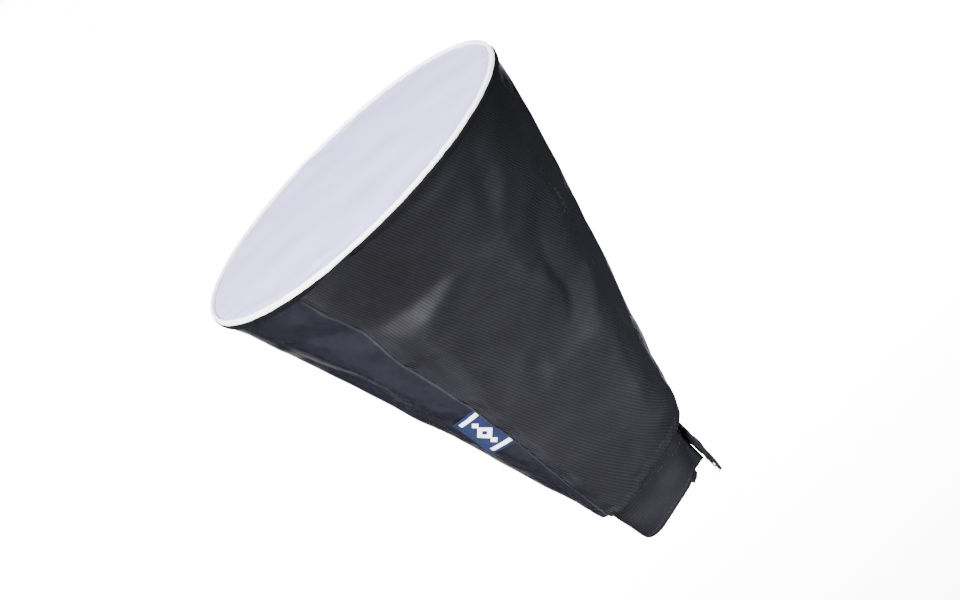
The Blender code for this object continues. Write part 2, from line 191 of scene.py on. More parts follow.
def facet_map():
    """The facets' lift in mm on a plain map of angle and height, with their creases a little rounded."""
    spots, edges = [], []
    for line in CREASES:
        edges += [(len(spots) + k, len(spots) + k + 1) for k in range(len(line) - 1)]
        spots += line
    random = np.random.default_rng(5)
    known = np.array([(a * MM_PER_DEGREE, z) for a, z, _ in spots])
    for angle in np.arange(-180, 180, 17.0):
        for z in np.arange(20, 256, 25.0):
            a, b = angle + random.uniform(-7, 7), z + random.uniform(-9, 9)
            if np.linalg.norm(known - (a * MM_PER_DEGREE, b), axis=1).min() > CLEAR_OF_CREASES:
                spots.append((a, b, random.uniform(-1.2, 1.2)))
    above, below = ([spot for spot in spots if spot[0] * way > 150] for way in (1, -1))
    spots += [(a - 360, z, h) for a, z, h in above] + [(a + 360, z, h) for a, z, h in below]
    spots += [(a, z, 0.0) for a in (-215, 215) for z in (0, 90, 180, 270)]
    flat = [Vector((a * MM_PER_DEGREE, z)) for a, z, _ in spots]
    places, _, triangles, origins, _, _ = delaunay_2d_cdt(flat, edges, [], 0, 1e-5)
    lifts = np.array([np.mean([spots[i][2] for i in source]) if source else 0.0 for source in origins])
    places = np.array([p[:] for p in places])
    across, along = np.meshgrid(MAP_ANGLE * MM_PER_DEGREE, MAP_Z)
    result = np.zeros_like(across)
    for a, b, c in triangles:
        p, q, r = places[a], places[b], places[c]
        area = (q[0] - p[0]) * (r[1] - p[1]) - (q[1] - p[1]) * (r[0] - p[0])
        if abs(area) < 1e-9:
            continue
        v = ((across - p[0]) * (r[1] - p[1]) - (along - p[1]) * (r[0] - p[0])) / area
        w = ((q[0] - p[0]) * (along - p[1]) - (q[1] - p[1]) * (across - p[0])) / area
        inside = (v >= -1e-6) & (w >= -1e-6) & (v + w <= 1 + 1e-6)
        result[inside] = ((1 - v - w) * lifts[a] + v * lifts[b] + w * lifts[c])[inside]
    reach = np.arange(-6, 7)
    kernel = np.exp(-0.5 * (reach / CREASE_ROUNDING) ** 2)
    kernel /= kernel.sum()
    for axis in (0, 1):
        result = sum(k * np.roll(result, shift, axis=axis) for k, shift in zip(kernel, reach))
    return result


FACET_MAP = facet_map()


def facets(degrees, z):
    """The facets' lift in metres at these angles and heights."""
    u = np.clip((np.mod(degrees + 180, 360) - 180 - MAP_ANGLE[0]) / MAP_STEP_ANGLE, 0, len(MAP_ANGLE) - 2)
    v = np.clip((z / MM - MAP_Z[0]) / MAP_STEP_Z, 0, len(MAP_Z) - 2)
    i, j = u.astype(int), v.astype(int)
    s, t = u - i, v - j
    low = FACET_MAP[j, i] * (1 - s) + FACET_MAP[j, i + 1] * s
    high = FACET_MAP[j + 1, i] * (1 - s) + FACET_MAP[j + 1, i + 1] * s
    return (low * (1 - t) + high * t) * MM


def relief(degrees, z, points):
    """How far facets and ripples push the wall outwards, in metres."""
    total = 0.25 * MM * waves(points, 60 * MM, 11) + 0.14 * MM * waves(points, 24 * MM, 12)
    total += 0.05 * MM * waves(points, 9.5 * MM, 13) * (0.5 + 0.5 * waves(points, 70 * MM, 14))
    total += facets(degrees, z)
    return total * smooth(z, 27 * MM, 50 * MM) * (1 - smooth(z, 232 * MM, 245 * MM))


def wall(degrees, z, lift=0.0):
    """Points of the real wall: its swell and folds, then this lift along its radius."""
    z = np.asarray(z, float)
    base = plain_wall(degrees, z)
    push = relief(degrees, z, base) + lift
    return base + polar(1.0, np.radians(degrees), 0.0) * push[..., None]


SLANT = 14.3  # degrees between the wall and the axis
APEX_Z = -136.0 * MM


def flat_cut(degrees, z):
    """Where a point of the cone lies in its flat cloth, in metres, for the weave to follow."""
    slant = (np.asarray(z) - APEX_Z) / math.cos(math.radians(SLANT))
    turn = np.radians(degrees) * math.sin(math.radians(SLANT))
    return stack(slant * np.sin(turn), slant * np.cos(turn))


# Meshes


def mesh_object(name, points, faces, uv=None, sharp=50.0):
    mesh = bpy.data.meshes.new(name)
    mesh.from_pydata(np.asarray(points).tolist(), [], faces)
    if uv is not None:
        layer = mesh.uv_layers.new(name="cloth")
        corners = np.empty(len(mesh.loops), np.int32)
        mesh.loops.foreach_get("vertex_index", corners)
        layer.data.foreach_set("uv", np.asarray(uv, np.float32)[corners].reshape(-1))
    mesh.shade_smooth()
    mesh.set_sharp_from_angle(angle=math.radians(sharp))
    obj = bpy.data.objects.new(name, mesh)
    bpy.context.scene.collection.objects.link(obj)
    return obj


def surface_normals(points, closed=False):
    """Unit normals of a grid of points, outwards when it runs round and then up."""
    if closed:
        around = np.roll(points, -1, axis=1) - np.roll(points, 1, axis=1)
    else:
        around = np.gradient(points, axis=1)
    normals = np.cross(around, np.gradient(points, axis=0))
    length = np.linalg.norm(normals, axis=-1, keepdims=True)
    return normals / np.maximum(length, 1e-12)


def grid_faces(rows, columns, start=0, flip=False, closed=False):
    made = []
    for v in range(rows - 1):
        for u in range(columns if closed else columns - 1):
            a, b = start + v * columns + u, start + v * columns + (u + 1) % columns
            face = (a, b, b + columns, a + columns)
            made.append(face[::-1] if flip else face)
    return made


def between(name, outer, inner, uv, closed=False, pole=False, sharp=50.0):
    """A closed solid between two grids of points.

    closed joins their first and last columns, and pole fills the hole that their last rows leave.
    """
    rows, columns = outer.shape[:2]
    count = rows * columns
    top = count - columns
    points = np.concatenate([outer.reshape(-1, 3), inner.reshape(-1, 3)])
    flat = np.concatenate([uv.reshape(-1, 2)] * 2)
    if pole:
        points = np.vstack([points, outer[-1].mean(axis=0), inner[-1].mean(axis=0)])
        flat = np.vstack([flat, np.zeros((2, 2))])
    faces = grid_faces(rows, columns, closed=closed) + grid_faces(rows, columns, count, True, closed)
    for u in range(columns if closed else columns - 1):
        n = (u + 1) % columns
        faces.append((n, u, count + u, count + n))
        if pole:
            faces += [(top + u, top + n, 2 * count), (count + top + n, count + top + u, 2 * count + 1)]
        else:
            faces.append((top + u, top + n, count + top + n, count + top + u))
    if not closed:
        for a in range(0, top, columns):
            b, right = a + columns, columns - 1
            faces.append((a, b, count + b, count + a))
            faces.append((b + right, a + right, count + a + right, count + b + right))
    return mesh_object(name, points, faces, flat, sharp)


def cloth(name, outer, thickness, uv, closed=False, pole=False):
    """A closed sheet of cloth: this grid is its outer face, and its inner face lies thickness behind."""
    return between(name, outer, outer - surface_normals(outer, closed) * thickness, uv, closed, pole)


def tubes(name, lines, radius, sides=6):
    """Closed round tubes along lines of points, as one mesh. radius is a number, or one for each point."""
    points, faces = [], []
    for line in lines:
        line = np.asarray(line, float)
        run = np.gradient(line, axis=0)
        run /= np.maximum(np.linalg.norm(run, axis=1, keepdims=True), 1e-12)
        start = np.array([0.0, 0.0, 1.0]) if abs(run[0][2]) < 0.9 else np.array([1.0, 0.0, 0.0])
        side = np.cross(run, start)
        side /= np.maximum(np.linalg.norm(side, axis=1, keepdims=True), 1e-12)
        up = np.cross(side, run)
        radii = np.broadcast_to(np.asarray(radius, float), (len(line),))
        base = len(points)
        for p, s, u, r in zip(line, side, up, radii):
            for k in range(sides):
                turn = TAU * k / sides
                points.append(p + r * (math.cos(turn) * s + math.sin(turn) * u))
        for i in range(len(line) - 1):
            for k in range(sides):
                a, b = base + i * sides + k, base + i * sides + (k + 1) % sides
                faces.append((a, a + sides, b + sides, b))
        faces.append(tuple(base + k for k in range(sides)))
        last = base + (len(line) - 1) * sides
        faces.append(tuple(last + sides - 1 - k for k in range(sides)))
    return mesh_object(name, points, faces, sharp=80.0)


def radial(points):
    out = points * np.array([1.0, 1.0, 0.0])
    return out / np.linalg.norm(out, axis=-1, keepdims=True)


# Materials


class Shader:
    """A material with short ways to add nodes. Colours are linear RGB."""

    def __init__(self, name, colour, roughness, gloss=0.5, edge=0.08, **settings):
        self.material = bpy.data.materials.new(name)
        self.material.use_nodes = True
        self.tree = self.material.node_tree
        self.inputs = self.tree.nodes["Principled BSDF"].inputs
        values = {"Base Color": (*colour, 1.0), "Roughness": roughness}
        values |= {socket.replace("_", " "): value for socket, value in settings.items()}
        if "Metallic" not in settings and max(colour) < 0.2:
            # Black cloth keeps no bright edge: part of its gloss is the kind whose edge can be dimmed.
            values |= {"Metallic": gloss, "Specular IOR Level": 0.0, "Specular Tint": (edge, edge, edge, 1.0)}
        for socket, value in values.items():
            self.inputs[socket].default_value = value
        self.height = None

    def node(self, kind, **values):
        made = self.tree.nodes.new(kind)
        for key, value in values.items():
            setattr(made, key, value)
        return made

    def put(self, value, socket):
        if isinstance(value, bpy.types.NodeSocket):
            self.tree.links.new(value, socket)
        else:
            socket.default_value = value

    def math(self, operation, *inputs):
        made = self.node("ShaderNodeMath", operation=operation)
        for value, socket in zip(inputs, made.inputs):
            self.put(value, socket)
        return made.outputs[0]

    def flat(self):
        """The two coordinates of the piece laid flat, as its mesh holds them."""
        split = self.node("ShaderNodeSeparateXYZ")
        self.put(self.node("ShaderNodeUVMap", uv_map="cloth").outputs[0], split.inputs[0])
        return split.outputs[0], split.outputs[1]

    def times(self, first, second):
        return self.math("MULTIPLY", first, second)

    def gap(self, value, middle):
        return self.math("ABSOLUTE", self.math("SUBTRACT", value, middle))

    def cloth_axes(self, turn=0.0):
        """The flat cloth's two coordinates in millimetres, turned by this many degrees."""
        x, y = self.flat()
        cos, sin = 1000 * math.cos(math.radians(turn)), 1000 * math.sin(math.radians(turn))
        first = self.math("ADD", self.times(x, cos), self.times(y, sin))
        second = self.math("SUBTRACT", self.times(y, cos), self.times(x, sin))
        return first, second

    def ridges(self, coordinate, period):
        """0 to 1 and back once each period of a coordinate in millimetres."""
        phase = self.times(coordinate, TAU / period)
        return self.math("MULTIPLY_ADD", self.math("SINE", phase), 0.5, 0.5)

    def noise(self, scale, detail=3.0, rough=0.55):
        """Blender's noise from 0 to 1. Its scale is in features per metre of object space."""
        made = self.node("ShaderNodeTexNoise")
        made.inputs["Scale"].default_value = scale
        made.inputs["Detail"].default_value = detail
        made.inputs["Roughness"].default_value = rough
        place = self.node("ShaderNodeTexCoord")
        self.put(place.outputs["Object"], made.inputs["Vector"])
        return made.outputs[0]

    def mix(self, share, first, second):
        made = self.node("ShaderNodeMix", data_type="RGBA")
        self.put(share, made.inputs[0])
        for value, socket in ((first, made.inputs[6]), (second, made.inputs[7])):
            self.put(value if isinstance(value, bpy.types.NodeSocket) else (*value, 1.0), socket)
        return made.outputs[2]

    def colour(self, value):
        self.put(value, self.inputs["Base Color"])

    def roughness(self, value):
        self.put(value, self.inputs["Roughness"])

    def bump(self, height, distance, strength=1.0):
        """Adds a bump of this depth in metres, over any bump already there."""
        made = self.node("ShaderNodeBump")
        made.inputs["Distance"].default_value = distance
        made.inputs["Strength"].default_value = strength
        self.put(height, made.inputs["Height"])
        if self.height is not None:
            self.put(self.height, made.inputs["Normal"])
        self.height = made.outputs[0]
        self.put(self.height, self.inputs["Normal"])


def ribbed_nylon():
    """Black nylon with slanting ribs and finer threads across them."""
    s = Shader("ribbed_nylon", (0.02, 0.02, 0.025), 0.42, gloss=0.7)
    across, along = s.cloth_axes(19.4)
    wobble = s.times(s.noise(160, 2), 0.5)
    rib = s.ridges(s.math("ADD", across, wobble), 1.5)
    thread = s.ridges(along, 1.5)
    tall = s.math("POWER", rib, 1.4)
    height = s.math("ADD", s.times(tall, 0.72), s.times(thread, 0.2))
    patch = s.math("MULTIPLY_ADD", s.noise(22, 2), 0.8, 0.35)
    shade = s.times(height, patch)
    s.colour(s.mix(shade, (0.0092, 0.0092, 0.0109), (0.0198, 0.0198, 0.0230)))
    s.roughness(s.math("MULTIPLY_ADD", s.noise(45, 3), 0.12, 0.41))
    s.bump(s.noise(700, 2), 0.00008, 0.4)
    s.bump(height, 0.00010, 0.7)
    return s.material


def black_satin():
    """Smoother black cloth with a fine plain weave and a soft sheen."""
    s = Shader("black_satin", (0.012, 0.012, 0.016), 0.42, gloss=0.75, edge=0.12)
    across, along = s.cloth_axes(8.0)
    weave = s.times(s.ridges(across, 0.62), s.ridges(along, 0.62))
    patch = s.noise(30, 3)
    s.colour(s.mix(s.math("MULTIPLY_ADD", weave, 0.4, s.times(patch, 0.6)), (0.0090, 0.0090, 0.0120),
                   (0.0180, 0.0180, 0.0235)))
    s.roughness(s.math("MULTIPLY_ADD", s.noise(60, 3), 0.14, 0.40))
    s.bump(s.noise(380, 3), 0.0004, 0.35)
    s.bump(weave, 0.00012, 0.5)
    return s.material


def webbing(name="black_webbing", turn=0.0, period=1.5):
    """Woven strap: ribs along the cloth's first axis, with staggered picks across them."""
    s = Shader(name, (0.014, 0.014, 0.016), 0.62, gloss=0.35)
    across, along = s.cloth_axes(turn)
    rib = s.ridges(along, period)
    pick = s.ridges(s.math("ADD", across, s.times(along, 0.5)), 0.9)
    height = s.math("MULTIPLY_ADD", pick, 0.45, s.times(rib, 0.55))
    s.colour(s.mix(s.times(height, s.noise(40, 3)), (0.0044, 0.0044, 0.0053), (0.0106, 0.0106, 0.0128)))
    s.bump(height, 0.00013, 0.7)
    s.bump(s.noise(900, 2), 0.00015, 0.4)
    return s.material


def grainy(name, roughness, low, high, scale, depth, strength, detail=3.0, rough=0.55, power=1.0):
    """A plain material with a fine grain of bumps, from its colour in the dips to its colour on the bumps."""
    s = Shader(name, low, roughness)
    grain = s.noise(scale, detail, rough)
    s.colour(s.mix(grain if power == 1.0 else s.math("POWER", grain, power), low, high))
    s.bump(grain, depth, strength)
    return s.material


def fuzzy(name, low, high, scale):
    """Hook or loop tape: dense fibres, drawn as coarse bumps."""
    return grainy(name, 0.9, low, high, scale, 0.0009, 0.9, 5, 0.75, 1.6)


def silver_cloth():
    """Metallised lining, creased all over."""
    s = Shader("silver_lining", (0.74, 0.75, 0.77), 0.3, Metallic=1.0)
    across, along = s.cloth_axes(0.0)
    weave = s.times(s.ridges(across, 0.8), s.ridges(along, 0.8))
    crease = s.noise(90, 5, 0.6)
    s.colour(s.mix(crease, (0.58, 0.59, 0.61), (0.86, 0.87, 0.89)))
    s.roughness(s.math("MULTIPLY_ADD", s.noise(130, 3), 0.25, 0.2))
    s.bump(crease, 0.0025, 0.6)
    s.bump(weave, 0.0001, 0.35)
    return s.material


def white_cloth(name, low, high, weave_period, crease):
    """White diffusing cloth or tape, with a fine weave and soft creases."""
    s = Shader(name, high, 0.6, Sheen_Weight=0.1, Sheen_Roughness=0.5,
               Subsurface_Weight=0.15, Subsurface_Scale=0.002)
    across, along = s.cloth_axes(35.0)
    weave = s.times(s.ridges(across, weave_period), s.ridges(along, weave_period))
    s.colour(s.mix(s.math("MULTIPLY_ADD", weave, 0.15, s.times(s.noise(18, 3), 0.85)), low, high))
    s.bump(s.noise(35, 3), crease, 0.5)
    s.bump(weave, 0.00008, 0.5)
    return s.material


def thread(name, colour):
    low, high = tuple(c * 0.7 for c in colour), tuple(min(1, c * 1.3) for c in colour)
    return grainy(name, 0.6, low, high, 2500, 0.0001, 0.5, 1)


def label_weave():
    """Navy woven label with a plain white pattern: a bar at each end and three lozenges between them.

    Its cloth coordinates run from 0 to 1 along it and across it.
    """
    s = Shader("woven_label", (0.02, 0.04, 0.12), 0.7)
    along, down = s.flat()
    centre = s.gap(down, 0.46)
    bars = s.math("LESS_THAN", s.gap(s.gap(along, 0.5), 0.40), 0.042)
    white = s.times(bars, s.math("LESS_THAN", centre, 0.36))
    for middle, size in ((0.27, 0.13), (0.5, 0.30), (0.73, 0.13)):
        edge = s.math("ADD", s.times(s.gap(along, middle), 1.7), centre)
        ring = s.times(s.math("LESS_THAN", edge, size), s.math("GREATER_THAN", edge, (size - 0.13) * 0.6))
        white = s.math("MAXIMUM", white, ring)
    weave = s.times(s.ridges(s.times(along, 31.0), 0.55), s.ridges(s.times(down, 20.0), 0.45))
    ground = s.mix(weave, (0.010, 0.0135, 0.033), (0.021, 0.028, 0.064))
    motif = s.mix(weave, (0.62, 0.64, 0.70), (0.88, 0.90, 0.96))
    s.colour(s.mix(white, ground, motif))
    s.bump(s.math("ADD", s.times(white, 0.6), s.times(weave, 0.5)), 0.0002, 0.7)
    return s.material


MATERIALS = {
    "ribbed_nylon": ribbed_nylon(),
    "black_satin": black_satin(),
    "black_webbing": webbing(),
    "black_tape": webbing("black_tape", 90.0, 1.0),
    "loop_pile": fuzzy("loop_pile", (0.010, 0.010, 0.011), (0.060, 0.060, 0.064), 900),
    "hook_tape": fuzzy("hook_tape", (0.008, 0.008, 0.009), (0.045, 0.045, 0.048), 1500),
    "silver_lining": silver_cloth(),
    "white_diffuser": white_cloth("white_diffuser", (0.395, 0.38, 0.68), (0.425, 0.41, 0.72), 0.7, 0.0012),
    "white_piping": white_cloth("white_piping", (0.86, 0.86, 0.93), (0.93, 0.93, 0.97), 0.9, 0.0004),
    "grip_rubber": grainy("grip_rubber", 0.55, (0.012, 0.012, 0.013), (0.030, 0.030, 0.032), 900, 0.0002, 0.5),
    "boning": grainy("boning", 0.35, (0.52, 0.54, 0.56), (0.66, 0.68, 0.70), 120, 0.0001, 0.3, 2),
    "woven_label": label_weave(),
}
BLACK_THREAD = thread("black_thread", (0.013, 0.013, 0.015))
# Painted highlight: the flap's edge fold is the same nylon as the cloth, painted lighter to stand for the light
# it catches.
FOLD_HIGHLIGHT_NYLON = thread("fold_highlight_nylon", (0.020, 0.020, 0.0235))
WHITE_THREAD = thread("white_thread", (0.70, 0.70, 0.76))


def dress(obj, slot, body=None, material=None, replaces=()):
    """Gives a piece its material, looked up by its slot when none is given, and the body it rides on, and hides
    the CAD nodes it stands for.
    """
    obj.data.materials.clear()
    obj.data.materials.append(material or MATERIALS[slot])
    if body:
        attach(obj, body)
    if replaces:
        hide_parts(*replaces)
    return obj


def sew(name, path, outwards, size, slot, body, material=BLACK_THREAD):
    """A row of thread stitches along a path of points, each dipping into the cloth at its two ends.

    size is their pitch, length and radius, in millimetres.
    """
    pitch, length, radius = np.array(size) * MM
    run = np.concatenate([[0], np.cumsum(np.linalg.norm(np.diff(path, axis=0), axis=1))])
    count = max(1, int(run[-1] / pitch))
    lines = []
    for k in range(count):
        start = (k + 0.5) * run[-1] / count - length / 2
        along = start + length * np.array([0.0, 0.12, 0.35, 0.65, 0.88, 1.0])
        rise = radius * np.array([-1.6, 0.1, 0.6, 0.6, 0.1, -1.6])
        at, out = (stack(*(np.interp(along, run, part[:, i]) for i in range(3))) for part in (path, outwards))
        lines.append(at + out * rise[:, None])
    return dress(tubes(name, lines, radius, 6), slot, body, material)


# The cone's cloth

FLAP_START = HINGE_ANGLE + 18.0  # degrees: where the cloth starts to rise over the closure
EDGE_CURL = 1.25 * MM
EDGE_Z = np.array([20, 28, 40, 69, 85, 101, 135, 161, 180, 199, 216, 224, 237, 249]) * MM
EDGE_ANGLE = [-34.6, -34.0, -32.4, -30.3, -29.2, -29.0, -29.4, -31.0, -31.6, -30.7, -31.2, -32.0, -33.8, -34.0]
FLAP_LIFT = 2.9 * MM
CLOTH = 0.7 * MM
HEM_LINE_Z = 30.5 * MM  # where the rear hem is sewn
PANEL_Z = (REAR_Z + 0.5 * MM, 247.5 * MM, 1.8 * MM)  # the outer panels' rear row, front row and step


def edge_angle(z):
    """The flap's free edge, which wanders a little, in degrees."""
    return sum(np.interp(z + shift, EDGE_Z, EDGE_ANGLE) for shift in (-6 * MM, -2 * MM, 2 * MM, 6 * MM)) / 4


def heights(low, high, step):
    return np.linspace(low, high, max(2, round((high - low) / step) + 1))


def turned_in(z, top):
    """Heights and lifts of a cloth whose rear edge is turned in as a hem, and whose mouth edge is rounded over.

    top is the mouth edge's height at each column.
    """
    hem = np.array([(30.5, -1.9), (27.0, -2.0), (24.8, -1.8), (24.05, -1.2), (23.85, -0.6), (24.1, -0.15)]) * MM
    height = np.concatenate([np.broadcast_to(hem[:, 0][:, None], (len(hem), len(top))),
                             z[0] + (top - z[0]) * np.linspace(0, 1, len(z))[:, None],
                             np.stack([top + 0.3 * MM, top + 0.3 * MM])])
    sewn_in = -0.35 * MM * np.exp(-(((z - HEM_LINE_Z) / (1.2 * MM)) ** 2))
    lift = np.concatenate([hem[:, 1], sewn_in, [-0.5 * MM, -1.0 * MM]])
    return height, np.broadcast_to(lift[:, None], height.shape)


def collar_top(degrees):
    """Where the cloth ends under the white binding, in metres."""
    return CAP_FRONT_Z - piping_depth(degrees) - 0.45 * MM


def build_shell():
    """The ribbed cloth round the top and both sides, and on past the hinge to the flap's rolled free edge."""
    z = heights(*PANEL_Z)
    # Columns, from the edge's turned-under strip over its roll and across the flap, and then round the cone
    shares = np.concatenate([np.ones(16), np.linspace(1.0, 0.0, 40)[1:]])
    roll = np.concatenate([np.full(6, 180.0), np.linspace(168, 8, 10), np.zeros(39)])
    back = np.concatenate([np.linspace(6.0, 0.8, 6), np.zeros(49)]) * MM
    rest = np.linspace(FLAP_START, PANEL_SEAM, 230)[1:]
    typical = np.concatenate([np.where(shares > 0.99, -33.0, FLAP_START - 41 * shares), rest])
    # At the hinge the top edge is cut a little lower, so that it clears the diffuser when the flap turns.
    notch = 2.5 * MM * np.exp(-(((typical - HINGE_ANGLE) / 5.5) ** 2))
    height, fold = turned_in(z, collar_top(typical) - notch)
    edge = edge_angle(height[:, :1])
    lap = FLAP_START + (edge - FLAP_START) * shares
    radius = np.linalg.norm(plain_wall(lap, height[:, : len(shares)])[..., :2], axis=-1)
    lap = lap - np.degrees((EDGE_CURL * np.sin(np.radians(roll)) - back) / radius)
    degrees = np.concatenate([lap, np.broadcast_to(rest, (len(height), len(rest)))], axis=1)
    base = wall(degrees, height)
    gap = np.radians(np.clip(degrees - edge, 0, 60)) * np.linalg.norm(base[..., :2], axis=-1)
    rise = (FLAP_LIFT + CLOTH) * (1 - smooth(degrees, -16.0, FLAP_START))
    rise = rise * (1 - 0.55 * smooth(height, 212 * MM, 246 * MM))
    soft = 0.5 * MM * np.exp(-(((gap - 6 * MM) / (5 * MM)) ** 2))
    soft = soft - 1.5 * MM * np.exp(-((gap / (6.5 * MM)) ** 2)) * (1 - smooth(height, 100 * MM, 190 * MM))
    soft = soft * (degrees < FLAP_START)
    curl = np.concatenate([EDGE_CURL * (1 - np.cos(np.radians(roll))), np.zeros(len(rest))])
    ruffle = 0.22 * MM * np.exp(-((gap / (9 * MM)) ** 2)) * waves(base, 26 * MM, 91, 6)
    pucker = 0.18 * MM * waves(base, 6 * MM, 22, 7) * np.exp(-(((height - 28 * MM) / (5 * MM)) ** 2))
    points = wall(degrees, height, rise + soft + ruffle + pucker - curl + fold)
    shell = cloth("shell_cloth", points, CLOTH * 0.8, flat_cut(degrees, height + fold))
    dress(shell, "ribbed_nylon", replaces=("main_panel", "foam_core", "closure_flap", "rear_hem"))
    hinge, axis = Vector(JOINTS["flap_peel"]["pos_m"]), Vector(JOINTS["flap_peel"]["axis"]).normalized()
    out = Vector((math.cos(math.radians(-35)), math.sin(math.radians(-35)), 0.0))
    out = (out - axis * out.dot(axis)).normalized()
    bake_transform(shell)
    build_edge_fold(points[7:-3, 11])
    row = int(np.argmin(abs(height[:, 100] - HEM_LINE_Z)[8:])) + 8
    line = points[row, 60:-2]
    sew("rear_hem_stitches", line, radial(line), (3.0, 1.9, 0.16), "black_tape", "cone")


def build_edge_fold(rim):
    """The fold along the flap's free edge, which catches the light. It is thicker towards the mouth. Its nylon
    is painted lighter than the cloth round it, a painted highlight along the edge.
    """
    away = rim + radial(rim) * 0.25 * MM + np.array([0.0, -0.35 * MM, 0.0])
    thick = 0.45 + 0.3 * smooth(away[:, 2], 120 * MM, 165 * MM) + 0.1 * waves(away, 17 * MM, 33)
    fold = tubes("flap_edge_fold", [away], thick * MM, 8)
    dress(fold, "ribbed_nylon", "side_flap", FOLD_HIGHLIGHT_NYLON, ("flap_binding",))


def build_satin():
    """The smooth lower panel, from its seam with the ribbed cloth to under the flap."""
    angles = np.linspace(PANEL_SEAM - 360 + 0.15, -11.6, 90)
    height, fold = turned_in(heights(*PANEL_Z), collar_top(angles) - 0.5 * MM * smooth(angles, -40, -30))
    degrees = angles + 0 * height
    base = plain_wall(degrees, height)
    pucker = 0.25 * MM * waves(base, 7 * MM, 23, 7) * np.exp(-(((height - 27 * MM) / (6 * MM)) ** 2))
    under = -1.2 * MM * smooth(degrees, -36, -30) * smooth(height, 225 * MM, 240 * MM)
    points = wall(degrees, height, fold + pucker + under)
    satin = cloth("satin_cloth", points, CLOTH, flat_cut(degrees, height + fold))
    dress(satin, "black_satin", "cone", replaces=("lower_panel",))


def closure_tape(name, node, slot, body, lift, seed):
    """A strip of hook or loop tape on the wall under the flap, with a slightly uneven edge."""
    low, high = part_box(node)
    z = heights(low.z, high.z, 3 * MM)
    edge = edge_angle(z)[:, None]
    degrees = edge + (HINGE_ANGLE - edge) * np.linspace(0.16, 0.70, 12)
    height = z[:, None] + 0 * degrees
    rough = 0.08 * MM * waves(stack(degrees * MM, height, 0.0), 4 * MM, seed)
    lift = lift * (1 - 0.65 * smooth(height, 205 * MM, 240 * MM))
    made = cloth(name, wall(degrees, height, lift + rough), 0.4 * MM, flat_cut(degrees, height))
    dress(made, slot, body, replaces=(node,))


def build_lining():
    degrees, height = np.meshgrid(np.linspace(-12.8, 346.8, 190), heights(REAR_Z, MOUTH_Z, 3.2 * MM))
    base = wall(degrees, height)
    crinkle = 0.35 * MM * waves(base, 14 * MM, 71) + 0.2 * MM * waves(base, 6 * MM, 72)
    fade = smooth(height, REAR_Z, REAR_Z + 12 * MM) * (1 - smooth(height, MOUTH_Z - 14 * MM, MOUTH_Z - 2 * MM))
    drop = LINING_OFFSET - puff(np.radians(degrees), height) * 0.15
    points = wall(degrees, height, drop + crinkle * fade)
    made = cloth("lining_cloth", points, 0.45 * MM, flat_cut(degrees, height))
    dress(made, "silver_lining", "cone", replaces=("silver_lining",))


def build_boning():
    """The stiff strip behind the collar, between the cloth and the lining."""
    degrees, height = np.meshgrid(np.linspace(-9.6, 345.8, 200), heights(237 * MM, 245.5 * MM, 2.2 * MM))
    base = plain_wall(degrees, height)
    strip = cloth("boning_strip", base - radial(base) * (3.6 * MM), 0.6 * MM, flat_cut(degrees, height))
    dress(strip, "boning", "cone", replaces=("mouth_boning",))


def build_mouth_hem():
    """A tape folded over the mouth's edge, from outside to inside, and sewn on its inner face."""
    path = np.array([(1.0, 244.9), (1.1, 246.4), (1.0, 247.6), (0.2, 248.1), (-1.5, 248.15), (-4.0, 248.1),
                     (-4.9, 247.5), (-5.0, 245.0), (-4.9, 241.5)]) * MM  # lift, height
    degrees, height = np.meshgrid(np.linspace(-10.6, 346.6, 260), path[:, 1])
    base = plain_wall(degrees, height)
    crumple = 0.06 * MM * waves(base, 7 * MM, 21, 7)
    points = base + radial(base) * (path[:, :1] + crumple)[..., None]
    points[..., 2] += 0.5 * crumple
    made = cloth("mouth_hem_tape", points, 0.5 * MM, flat_cut(degrees, height + path[:, :1]))
    dress(made, "black_tape", "cone", replaces=("mouth_hem",))
    sew("mouth_hem_stitches", points[7], -radial(points[7]), (3.0, 2.0, 0.2), "black_tape", "cone")


# The label


def build_label():
    """A folded woven label. It hangs from under the flap's edge, just off the wall and slightly curled."""
    low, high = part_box("woven_label")
    along, down = np.meshgrid(np.linspace(0, 1, 30), np.linspace(0, 1, 20))
    z = low.z + (high.z - low.z) * along
    root = edge_angle(z) - 0.5
    radius = np.linalg.norm(plain_wall(root, z)[..., :2], axis=-1)
    degrees = root - np.degrees(down * 22.5 * MM / radius)
    lift = (0.9 + 1.3 * smooth(down, 0.2, 1.0) + 0.3 * np.sin(along * 5.0 + 0.6) * down) * MM
    skew = -4.0 * MM * down * (0.35 + 0.65 * along)
    grids = wall(degrees, z + skew, lift), stack(along, down)
    points, flat = (grid[::-1].transpose(1, 0, 2) for grid in grids)
    made = cloth("label_cloth", points, 0.5 * MM, flat)
    dress(made, "woven_label", replaces=("woven_label",))
    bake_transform(made)


# The cuff


def cuff_height(z):
    """How tall the cuff is outside, from its top to its bottom."""
    return CUFF_HEIGHT_REAR + (CUFF_HEIGHT_FRONT - CUFF_HEIGHT_REAR) * np.clip(z / REAR_Z, 0.0, 1.0)


def cuff_point(degrees, z, lift):
    """A point on the cuff, whose rear edge slants: it lies further forward over the top."""
    angle = np.radians(degrees)
    out = lift + 0 * angle
    radius = rounded_box(angle, CUFF_WIDTH + 2 * out, cuff_height(z) + 2 * out, CUFF_CORNER + out)
    points = polar(radius, angle, z)
    points[..., 2] += 0.24 * points[..., 1] * (1 - smooth(z, 4 * MM, 30 * MM))
    return points


